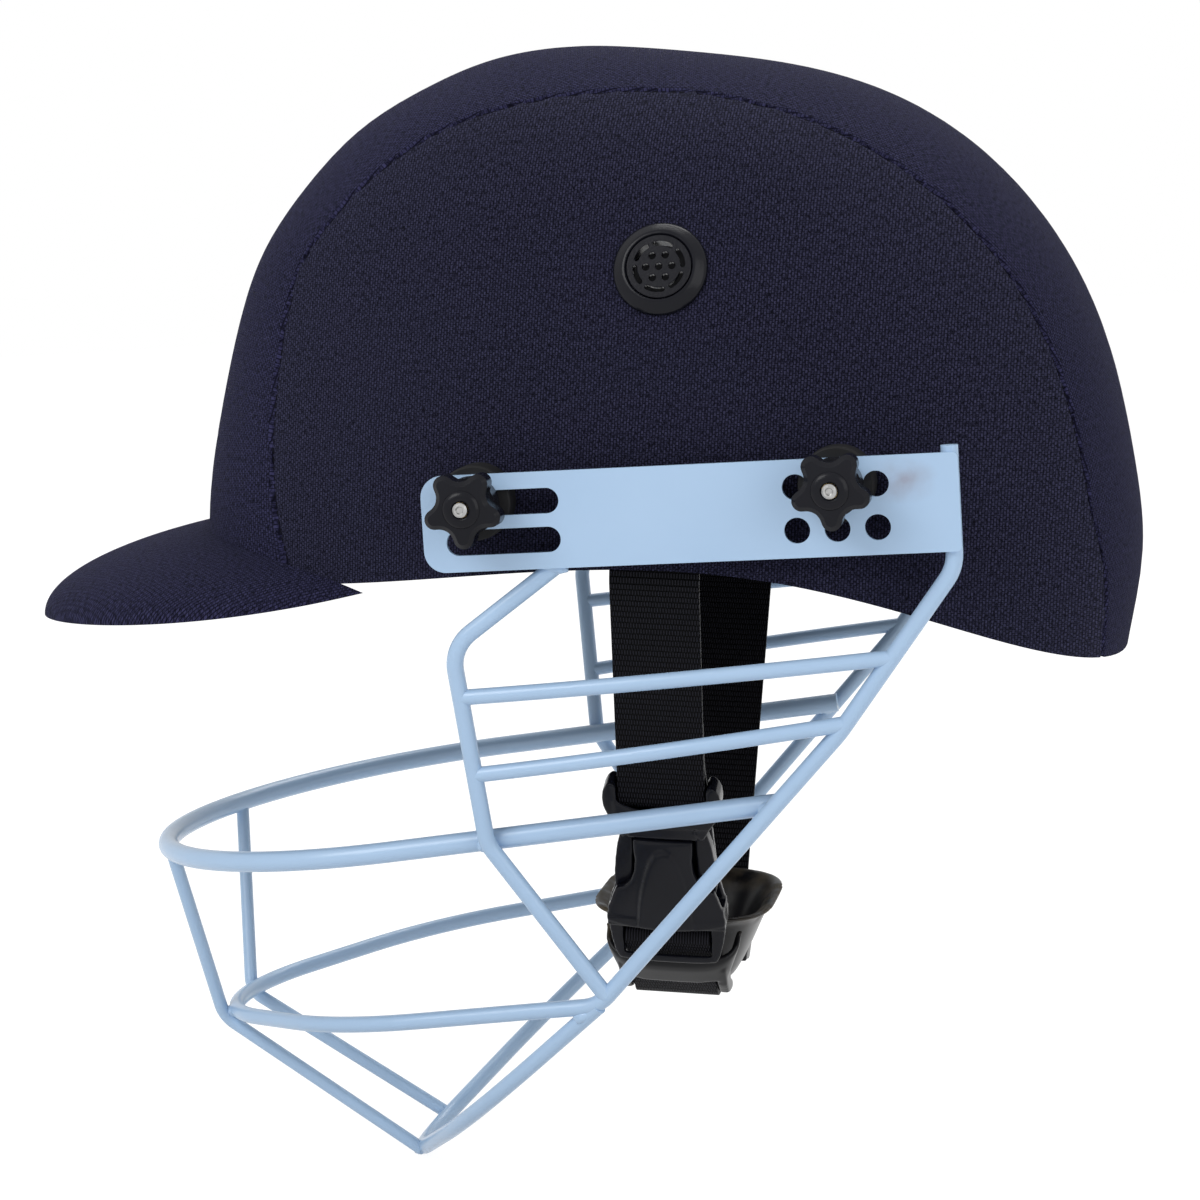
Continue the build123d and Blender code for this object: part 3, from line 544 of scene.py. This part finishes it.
# place in mm, direction that the bead runs, its length and its thickness
weld_places = [
    ((-19, -106.6, 2.9), (1, 0, -0.25), 8.0, 3.1),
    ((90.6, -106.9, 24.0), (0, 0, 1), 7.0, 2.9),
    ((90.6, -106.9, 9.0), (0, 0, 1), 7.0, 2.9),
    ((-47.8, -102.8, -32.9), (0, 0, 1), 4.2, 3.3),
    ((73.6, -102.5, -23.1), (0.7, 0, 1), 4.2, 3.3),
    ((-46.0, -98.4, -55.5), (0, 0, 1), 4.2, 3.3),
    ((55.2, -99.0, -46.9), (0.7, 0, 1), 4.2, 3.3),
    ((-45.5, -92.2, -76.5), (1, 0, 0.1), 5.0, 3.6),
    ((-15.8, -84.7, -122.0), (0.5, 0, 1), 5.0, 3.6),
    ((33.4, -90.6, -69.2), (0.6, 0, 1), 5.0, 3.9),
    ((-22.5, -83.2, -128.5), (1, 0, 0.4), 5.5, 3.4),
    ((-152.6, -39.6, -86.3), (0.4, 1, 0), 3.6, 3.6),
    ((-145.0, -16.8, -141.3), (0, 1, 0), 3.4, 3.3),
    ((-88.0, -19.6, -184.9), (1, 0, 0.8), 3.6, 3.3),
]
bm = bmesh.new()
for place, along, length, thick in weld_places:
    for mirror in (1, -1):
        along_it = Vector((along[0], along[1] * mirror, along[2])).normalized()
        middle = Vector((place[0], place[1] * mirror, place[2])) * mm
        girth, reach = (size * bead_spread_share * mm for size in (thick, length))
        spread = Matrix.Diagonal((girth, girth, reach, 1))
        turn = along_it.to_track_quat("Z", "Y").to_matrix().to_4x4()
        lump = bmesh.ops.create_icosphere(bm, subdivisions=3, radius=1)
        for vert in lump["verts"]:
            vert.co *= 1 + bead_lump_share * noise.noise(vert.co * lump_rate + middle * lump_step)
        bmesh.ops.transform(
            bm, matrix=Matrix.Translation(middle) @ turn @ spread, verts=lump["verts"]
        )
piece_from(bm, "weld_beads", "helmet", [], paint, 180)

# Fixings: a zinc-plated stud through the shell carries a rubber spacer, the plate, a steel washer
# and a black star knob with a brass insert. The knob has a raised boss round the stud's domed tip.
steel, nodes, links, shader = finish("zinc_plate", (0.62, 0.62, 0.61), 0.3, 1.0)
brushed = textured(nodes, links, "Noise", 900, 2)
tones(nodes, links, shader, brushed.outputs["Fac"], (0.3, 0.3, 0.3), (0.55, 0.55, 0.54))
relief(nodes, links, shader, brushed.outputs["Fac"], 0.05 * mm)

brass, nodes, links, shader = finish("turned_brass", (0.62, 0.45, 0.2), 0.32, 1.0)
turning = textured(nodes, links, "Noise", 1200)
tones(nodes, links, shader, turning.outputs["Fac"], (0.5, 0.35, 0.15), (0.7, 0.53, 0.26))

rubber, nodes, links, shader = finish("black_rubber", (0.01, 0.01, 0.011), 0.6, gloss=0.15)
bloom = textured(nodes, links, "Noise", 140, 4)
tones(nodes, links, shader, bloom.outputs["Fac"], (0.007, 0.007, 0.008), (0.02, 0.02, 0.021))

boss_profile = [
    (2.2, 0.03), (2.2, 0.5), (2.5, 0.85), (3.1, 0.95), (4.1, 0.8), (4.9, 0.35), (5.3, -0.2),
    (5.3, -0.7), (3.9, -0.7), (3.9, 0.03),
]
knob_face = 125.0
on_tip = 0.02 * mm
recess_rim, recess_wall, recess_deep = 0.42 * mm, 0.25 * mm, 0.7 * mm
stud_edge, spacer_edge, washer_edge, knob_edge = 0.45 * mm, 0.5 * mm, 0.15 * mm, 0.55 * mm
stud_places = {"front": (-39.7, 21.3), "rear": (59.5, 21.85)}
for side, mirrored in (("left", False), ("right", True)):
    for end, (x, z) in stud_places.items():
        part = f"{side}_{end}"
        stud = copy_of(f"{part}_bolt", f"{part}_stud", "helmet")
        bm = bmesh.new()
        bm.from_mesh(stud.data)
        tip = max(abs(vert.co.y) for vert in bm.verts)
        flats = [f for f in bm.faces if abs(abs(f.calc_center_median().y) - tip) < on_tip]
        cap = bmesh.ops.dissolve_faces(bm, faces=flats)["region"]
        bmesh.ops.inset_region(bm, faces=cap, thickness=recess_rim, use_even_offset=True)
        bmesh.ops.inset_region(
            bm, faces=cap, thickness=recess_wall, depth=-recess_deep, use_even_offset=True
        )
        bm.to_mesh(stud.data)
        bm.free()
        smooth_below(stud, 30)
        round_edges(stud, stud_edge, 25, 3)
        stud.data.materials.append(steel)
        dressed(
            f"{part}_spacer", f"{part}_collar", "helmet", rubber,
            bevel=(spacer_edge,),
        )
        dressed(
            f"{part}_washer", f"{part}_flat_washer", f"{part}_washer", steel,
            bevel=(washer_edge,),
        )
        dressed(
            f"{part}_knob", f"{part}_star", f"{part}_knob", black,
            bevel=(knob_edge, 40, 3),
        )
        dressed(f"{part}_insert", f"{part}_bush", f"{part}_knob", brass)
        outwards, ahead = Vector((0, -1, 0)), Vector((1, 0, 0))
        at = facing(Vector((x, -knob_face, z)) * mm, outwards, ahead, mirrored)
        bm = bmesh.new()
        turned(bm, boss_profile, 48)
        bmesh.ops.transform(bm, matrix=at, verts=bm.verts)
        piece_from(bm, f"{part}_boss", f"{part}_knob", [], black, 60)

# The chin strap is black polyester webbing, 25 mm wide, woven in cross ribs. One length
# hangs on the right and runs under the cup, and a short one hangs on the left. Both are folded
# back through the buckle and turn on a plastic rivet inside the shell.
web, nodes, links, shader = finish("ribbed_webbing", (0.006, 0.006, 0.008), 0.5, gloss=0.06)
web_map = nodes.new("ShaderNodeUVMap")
web_map.uv_map = "weave"
ribs_and_glints = yarn_rows(nodes, links, web_map.outputs["UV"], 0.8, 1.75, 0.3)
# The ribs are woven, but their crowns are painted much lighter than the gaps: that light on the
# crowns is painted highlight.
tones(nodes, links, shader, ribs_and_glints, (0.0002, 0.0002, 0.0004), (0.018, 0.018, 0.024))
relief(nodes, links, shader, ribs_and_glints, 0.7 * mm)

strap_lean = math.radians(5)
hang_origin = Vector((8, 0, 10)) * mm
hang_across = Vector((0, 1, 0))
hang_up = Vector((math.sin(strap_lean), 0, math.cos(strap_lean)))
hang_out = Vector((math.cos(strap_lean), 0, -math.sin(strap_lean)))
buckle_up = Vector((0.0793, -0.4142, 0.9067))
# each leg's turning points in millimetres: across the head from the middle, and up
right_route = [(95, 10), (95, -14), (44, -126), (23.5, -147.5), (-22, -147.5), (-47.6, -125.8)]
left_route = [(-95, 10), (-95, -14), (-66, -82)]


def weave_map(piece, route):
    """A map in millimetres, along the strap's route and across the webbing."""
    legs = []
    done = 0
    for start, end in zip(route, route[1:]):
        start, end = Vector(start), Vector(end)
        legs.append((start, (end - start).normalized(), (end - start).length, done))
        done += (end - start).length
    layer = piece.data.uv_layers.new(name="weave")
    for loop in piece.data.loops:
        place = (piece.data.vertices[loop.vertex_index].co - hang_origin) / mm
        flat = Vector((place.dot(hang_across), place.dot(hang_up)))
        best = None
        for start, way, length, before in legs:
            run = max(0, min(length, (flat - start).dot(way)))
            away = (flat - start - way * run).length
            if best is None or away < best[0]:
                best = (away, before + run)
        layer.data[loop.index].uv = (place.dot(hang_out), best[1])


strap_edge, rivet_edge = 0.5 * mm, 0.4 * mm
for side, route in (("right", right_route), ("left", left_route)):
    strap = dressed(
        f"{side}_strap", f"{side}_webbing", "chin_strap", web, bevel=(strap_edge, 50, 2)
    )
    weave_map(strap, route)
    if side == "left":
        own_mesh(strap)
    dressed(
        f"{side}_strap_rivet", f"{side}_rivet", "helmet", black,
        bevel=(rivet_edge,),
    )

# The side-release buckle is moulded in two halves of black acetal. The plug has curved wings beside
# its strap bar and two springy arms; the socket has two skins, a block between them, an arched
# panel on its face, and rails that carry the lower strap bar.


def slab(bm, outline, low, high, mirrored=False, turn=None):
    """A closed prism: an outline in millimetres, drawn out from one height to another."""
    for way in (1, -1) if mirrored else (1,):
        corners = [bm.verts.new((x * way * mm, y * mm, low * mm)) for x, y in outline]
        made = bmesh.ops.extrude_face_region(bm, geom=[bm.faces.new(corners)])
        lifted = [item for item in made["geom"] if isinstance(item, bmesh.types.BMVert)]
        bmesh.ops.translate(bm, vec=(0, 0, (high - low) * mm), verts=lifted)
        if turn is not None:
            bmesh.ops.transform(bm, matrix=turn, verts=corners + lifted)


def fused(bm, grid, rounds):
    """One closed skin round the overlapping solids of a moulding, with its corners softened."""
    bmesh.ops.recalc_face_normals(bm, faces=bm.faces)
    mesh = bpy.data.meshes.new("loose_solids")
    bm.to_mesh(mesh)
    bm.free()
    lump = bpy.data.objects.new("loose_solids", mesh)
    bpy.context.scene.collection.objects.link(lump)
    skin = lump.modifiers.new("skin", "REMESH")
    skin.mode = "VOXEL"
    skin.voxel_size = grid * mm
    whole = bmesh.new()
    closed = evaluated(lump)
    whole.from_mesh(closed)
    bpy.data.objects.remove(lump)
    bpy.data.meshes.remove(mesh)
    bpy.data.meshes.remove(closed)
    for _ in range(rounds):
        bmesh.ops.smooth_vert(
            whole, verts=whole.verts, factor=0.5, use_axis_x=True, use_axis_y=True, use_axis_z=True
        )
    return whole


buckle_across = Vector((0.9962, 0, -0.0872))
buckle_out = buckle_across.cross(buckle_up)
buckle_place = Matrix.Translation(Vector((1.115, -65.389, -68.70)) * mm) @ Matrix(
    (buckle_across, buckle_up, buckle_out)
).transposed().to_4x4()


def bowed(bm, flat_share=0.22, half=17.5):
    """The moulding's two faces fall away towards its sides."""
    for vert in bm.verts:
        vert.co.z *= 1.05 - flat_share * (vert.co.x / (half * mm)) ** 2


# outlines in millimetres: across the strap, and up the strap from the plug's bar
wing = [
    (12.95, 4.6), (13.5, 5.8), (14.6, 6.1), (15.8, 5.2), (16.8, 3.2), (17.2, 0.6), (16.8, -2.4),
    (15.4, -5.8), (13.5, -9.0), (12.3, -11.4), (11.4, -12.6), (9.5, -10), (10.5, -6.5),
    (12.95, -4.2),
]
yoke = [
    (-13.2, -4.4), (13.2, -4.4), (13.4, -8.6), (12.2, -11), (10, -12.7), (-10, -12.7), (-12.2, -11),
    (-13.4, -8.6),
]
yoke_lip = [
    (-13.6, 0.9), (-11.5, -0.6), (-8, -1.7), (-4, -2.4), (0, -2.6), (4, -2.4), (8, -1.7),
    (11.5, -0.6), (13.6, 0.9), (13.6, -8), (-13.6, -8),
]
tongue = [(-6.6, -11), (6.6, -11), (6.6, -32), (5, -35), (-5, -35), (-6.6, -32)]
strap_bar = [(-13.6, -1.5), (13.6, -1.5), (13.6, 1.5), (-13.6, 1.5)]
bm = bmesh.new()
slab(bm, wing, -2.6, 5.2, mirrored=True)
slab(bm, yoke, -2.5, 4.6)
slab(bm, yoke_lip, 4.3, 5.5)
slab(bm, tongue, -1.7, 1.7)
slab(bm, strap_bar, -1.5, 1.5)
plug = fused(bm, 0.42, 5)
bowed(plug, 0.2)
bmesh.ops.transform(plug, matrix=buckle_place, verts=plug.verts)
piece_from(plug, "plug_moulding", "buckle_plug", ["buckle_plug"], black, 180)

arm = [
    (9.1, -10.5), (11.9, -10.5), (12.9, -13.5), (13.8, -17), (14.5, -22), (14.9, -26.5),
    (15.0, -31), (14.3, -34.3), (13.1, -36.6), (10.7, -36.6), (9.6, -32), (9.3, -26), (9.2, -20),
    (9.1, -14),
]
bm = bmesh.new()
slab(bm, arm, -2.1, 2.1, mirrored=True)
arms = fused(bm, 0.4, 4)
bmesh.ops.transform(arms, matrix=buckle_place, verts=arms.verts)
latch = piece_from(
    arms, "latch_arm_pair", "buckle_plug", ["latch_arms"], black, 180
)
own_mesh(latch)

skin_outline = [
    (-8.6, -13), (8.6, -13), (8.6, -16), (8.3, -20), (8.6, -24), (9.8, -27.6), (11.8, -30),
    (14.4, -30.9), (15.4, -33.5), (16.6, -37.5), (17.4, -41), (17.5, -42.4), (-17.5, -42.4),
    (-17.4, -41), (-16.6, -37.5), (-15.4, -33.5), (-14.4, -30.9), (-11.8, -30), (-9.8, -27.6),
    (-8.6, -24), (-8.3, -20), (-8.6, -16),
]
apron = [
    (-17.5, -41), (17.5, -41), (17.4, -42.6), (13, -43.6), (8, -44.3), (0, -44.8), (-8, -44.3),
    (-13, -43.6), (-17.4, -42.6),
]
arch = [
    (-7.9, -43.9), (-7.5, -37), (-6.7, -31), (-5.4, -25), (-4.0, -20.2), (-2.3, -17.2), (0, -16.1),
    (2.3, -17.2), (4.0, -20.2), (5.4, -25), (6.7, -31), (7.5, -37), (7.9, -43.9), (0, -44.5),
]
back_skin = [
    (-13.4, -13), (13.4, -13), (14.3, -24), (15.0, -31), (17.4, -41), (17.5, -44.5), (-17.5, -44.5),
    (-17.4, -41), (-15.0, -31), (-14.3, -24),
]
block = [(-17, -37.6), (17, -37.6), (17.4, -44.6), (-17.4, -44.6)]
rail = [
    (12.95, -42), (17.1, -42), (17.1, -46), (16.5, -50.5), (15.5, -55), (14.4, -57.4),
    (12.95, -57.4),
]
foot = [(-13.4, -55.5), (13.4, -55.5), (14.4, -57.4), (8, -57.9), (-8, -57.9), (-14.4, -57.4)]
lower_bar = [(-13.4, -51.5), (13.4, -51.5), (13.4, -48.5), (-13.4, -48.5)]
bm = bmesh.new()
slab(bm, skin_outline, 2.7, 5.3)
slab(bm, back_skin, -5.3, -2.7)
slab(bm, apron, 2.9, 5.5)
slab(bm, arch, 4.6, 6.15)
slab(bm, block, -5.1, 5.1)
slab(bm, rail, -2.6, 3.7, mirrored=True)
slab(bm, foot, 1.9, 3.6)
slab(bm, lower_bar, -1.5, 1.5)
socket = fused(bm, 0.42, 4)
bowed(socket)
bmesh.ops.transform(socket, matrix=buckle_place, verts=socket.verts)
piece_from(socket, "socket_moulding", "chin_strap", ["buckle_socket"], black, 180)

# The chin cup is a soft black moulding: a bowl with a flared lip that handling has dulled brown. A
# cover at each end holds the webbing, which comes out below it and runs on under the bowl.
rubbed_black, nodes, links, shader = finish("cup_moulding", (0.008, 0.008, 0.009), 0.34, gloss=0.2)
dust = textured(nodes, links, "Noise", 110, 5)
place = nodes.new("ShaderNodeTexCoord")
height = nodes.new("ShaderNodeSeparateXYZ")
links.new(place.outputs["Object"], height.inputs["Vector"])
on_lip = remapped(nodes, links, height.outputs["Z"], (-0.118, -0.1125))
patch = remapped(nodes, links, dust.outputs["Fac"], (0.36, 0.62))
worn = worked_out(nodes, links, "MULTIPLY", on_lip, patch)
tones(nodes, links, shader, worn, (0.006, 0.006, 0.0075), (0.085, 0.068, 0.045))
dull = remapped(nodes, links, worn, onto=(0.3, 0.7))
links.new(dull, shader.inputs["Roughness"])
relief(nodes, links, shader, dust.outputs["Fac"], 0.06 * mm)

cup_place = Matrix.Translation(hang_origin) @ Matrix(
    (hang_out, hang_across, hang_up)
).transposed().to_4x4()
corner_power = 0.6
bowl_sides = 112
# drop below the strap's rivets, half length across the chin, half width fore and aft
bowl_rings = [
    (146.0, 15.0, 9.5), (146.0, 18.5, 12.4), (145.2, 20.8, 14.2), (143.4, 22.9, 15.8),
    (140.5, 24.8, 17.4), (136.0, 27.2, 19.4), (131.0, 29.9, 21.4), (127.0, 31.9, 23.0),
    (124.4, 33.4, 24.2), (123.0, 35.0, 25.3), (122.4, 36.8, 26.5), (121.9, 37.9, 27.3),
    (121.3, 38.0, 27.4), (121.0, 37.3, 26.9), (121.3, 35.4, 25.4), (122.3, 33.2, 23.6),
    (124.0, 31.5, 22.2), (127.0, 30.0, 21.0), (131.0, 28.0, 19.4), (136.0, 25.3, 17.4),
    (140.5, 22.8, 15.4), (142.8, 20.8, 13.6), (143.9, 18.2, 11.4), (144.1, 14.0, 8.5),
]
bm = bmesh.new()
loops = []
for drop, half_across, half_fore in bowl_rings:
    ring = bmesh.ops.create_circle(bm, cap_ends=False, segments=bowl_sides, radius=1)["verts"]
    for vert in ring:
        fore = math.copysign(abs(vert.co.x) ** corner_power, vert.co.x)
        over = math.copysign(abs(vert.co.y) ** corner_power, vert.co.y)
        vert.co = Vector((fore * half_fore, over * half_across, -drop)) * mm
    loops.append(list({edge for vert in ring for edge in vert.link_edges}))
for loop, after in zip(loops, loops[1:]):
    bmesh.ops.bridge_loops(bm, edges=loop + after)
bmesh.ops.holes_fill(bm, edges=loops[0] + loops[-1], sides=0)
lengthwise = Matrix(((0, 0, 1), (1, 0, 0), (0, 1, 0))).to_4x4()
cheek_out = 16.2
cheek_wall = 3.0
cover_wall = 1.7
cover_power = 0.62
arch_steps = 24
# at the cover's upper end and its lower one, in millimetres
sunk_from, sunk_to = 10.5, 2.8
spread_from, spread_to = 20.5, 16.8
rise_from, rise_to = 2.0, 3.1
# each cover: its side, the webbing's run from top to bottom, and where on it the cover lies
for way, top, bottom, starts, ends in (
    (-1, (-47.59, -125.83), (-22.0, -147.5), 10.0, 21.0),
    (1, (44.0, -126.0), (23.5, -147.5), 8.0, 20.2),
):
    top, bottom = Vector(top), Vector(bottom)
    down = (bottom - top).normalized()
    out = Vector((-down.y, down.x)) * way
    if out.x * way < 0:
        out = -out
    sections = []
    for share in (0, 0.12, 0.3, 0.5, 0.7, 0.88, 1):
        centre = top + down * (starts + (ends - starts) * share)
        sunk = sunk_from + (sunk_to - sunk_from) * share
        spread = spread_from + (spread_to - spread_from) * share
        rise = rise_from + (rise_to - rise_from) * min(1, share * 6)
        arch_points = []
        for wall, order in ((0, 1), (cover_wall, -1)):
            for step in range(arch_steps + 1)[::order]:
                angle = math.pi * step / arch_steps
                side_reach = math.copysign(abs(math.cos(angle)) ** cover_power, math.cos(angle))
                fore = side_reach * (spread - wall)
                lift = math.sin(angle) ** cover_power * (sunk + rise - wall) - sunk
                spot = centre + out * lift
                arch_points.append(bm.verts.new(Vector((fore, spot.x, spot.y)) * mm))
        sections.append([
            bm.edges.new(pair) for pair in zip(arch_points, arch_points[1:] + arch_points[:1])
        ])
    for section, after in zip(sections, sections[1:]):
        bmesh.ops.bridge_loops(bm, edges=section + after)
    bmesh.ops.holes_fill(bm, edges=sections[0] + sections[-1], sides=0)
    # a flat wall at each edge of the webbing, from the cover's end to the foot of the bowl
    cheek = [
        top + down * (ends - 6) + out * 1.4, top + down * (ends + 3) + out * 1.9,
        top + down * (ends + 8.5) + out * 1.3, Vector((way * 21.5, -146.6)),
        Vector((way * 16.5, -146.4)), Vector((way * 16.5, -144.0)), Vector((way * 22.5, -141.5)),
        Vector((way * 25.0, -137.0)),
    ]
    for low in (-cheek_out, cheek_out - cheek_wall):
        slab(bm, [tuple(p) for p in cheek], low, low + cheek_wall, turn=lengthwise)
cup = fused(bm, 0.55, 5)
bmesh.ops.transform(cup, matrix=cup_place, verts=cup.verts)
piece_from(cup, "chin_cup_moulding", "chin_strap", ["chin_cup"], rubbed_black, 180)

# The photograph's view: a long lens from the left, slightly above the plates and a little rolled.
target = Vector((-0.025, 0.0, -0.020))
turn, tilt, roll = math.radians(9.802), math.radians(6.962), math.radians(-3.508)
distance, lens, film_width = 1.04349, 102.9, 36
back = Vector((math.sin(turn) * math.cos(tilt), -math.cos(turn) * math.cos(tilt), math.sin(tilt)))
ahead = -back
right = ahead.cross(Vector((0, 0, 1))).normalized()
up = right.cross(ahead)
right_rolled = math.cos(roll) * right + math.sin(roll) * up
up_rolled = -math.sin(roll) * right + math.cos(roll) * up
camera_data = bpy.data.cameras.new("camera")
camera_data.lens = lens
camera_data.sensor_width = film_width
camera_data.clip_start = 0.01
camera = bpy.data.objects.new("camera", camera_data)
bpy.context.scene.collection.objects.link(camera)
view = Matrix((right_rolled, up_rolled, back)).transposed().to_4x4()
camera.matrix_world = Matrix.Translation(target + distance * back) @ view
bpy.context.scene.camera = camera

# A pale floor that fades into a white surround, and three soft lamps.
floor_size = 12
floor_gap = 0.2 * mm
floor_glow, floor_glow_share = 1.26, 0.72
air_light, air_seen = 0.5, 1.0
bpy.ops.mesh.primitive_plane_add(size=floor_size, location=(0, 0, solid_low.z - floor_gap))
floor = bpy.context.object
floor.name = "floor"
pale, nodes, links, shader = finish("pale_floor", (0.82, 0.82, 0.82), 0.95, gloss=0.0)


def in_view(nodes, links):
    """1 for what the camera sees, straight, mirrored or through a clear piece, and 0 for light."""
    rays = nodes.new("ShaderNodeLightPath").outputs
    seen = worked_out(nodes, links, "MAXIMUM", rays["Is Camera Ray"], rays["Is Glossy Ray"])
    return worked_out(nodes, links, "MAXIMUM", seen, rays["Is Transmission Ray"])


glow = nodes.new("ShaderNodeEmission")
glow.inputs["Color"].default_value = (1, 1, 1, 1)
glow.inputs["Strength"].default_value = floor_glow
glow_share = worked_out(nodes, links, "MULTIPLY", in_view(nodes, links), floor_glow_share)
blend = nodes.new("ShaderNodeMixShader")
links.new(glow_share, blend.inputs["Fac"])
links.new(shader.outputs["BSDF"], blend.inputs[1])
links.new(glow.outputs["Emission"], blend.inputs[2])
links.new(blend.outputs["Shader"], nodes["Material Output"].inputs["Surface"])
floor.data.materials.append(pale)

world = bpy.data.worlds.new("studio")
bpy.context.scene.world = world
world.use_nodes = True
nodes = world.node_tree.nodes
links = world.node_tree.links
air = nodes["Background"]
air.inputs["Color"].default_value = (1, 1, 1, 1)
level = remapped(nodes, links, in_view(nodes, links), onto=(air_light, air_seen))
links.new(level, air.inputs["Strength"])


def lamp(name, place, size, power):
    """A soft square lamp aimed at the helmet."""
    data = bpy.data.lights.new(name, "AREA")
    data.size = size
    data.energy = power
    light = bpy.data.objects.new(name, data)
    bpy.context.scene.collection.objects.link(light)
    light.location = place
    light.rotation_euler = (target - Vector(place)).to_track_quat("-Z", "Y").to_euler()
    return light


lamp("key", (-0.9, -1.3, 1.2), 1.0, 16)
lamp("fill", (1.3, -1.1, 0.5), 1.2, 7)
lamp("top_back", (0.2, 0.9, 1.5), 1.0, 14)
bpy.context.scene.view_settings.view_transform = "Standard"
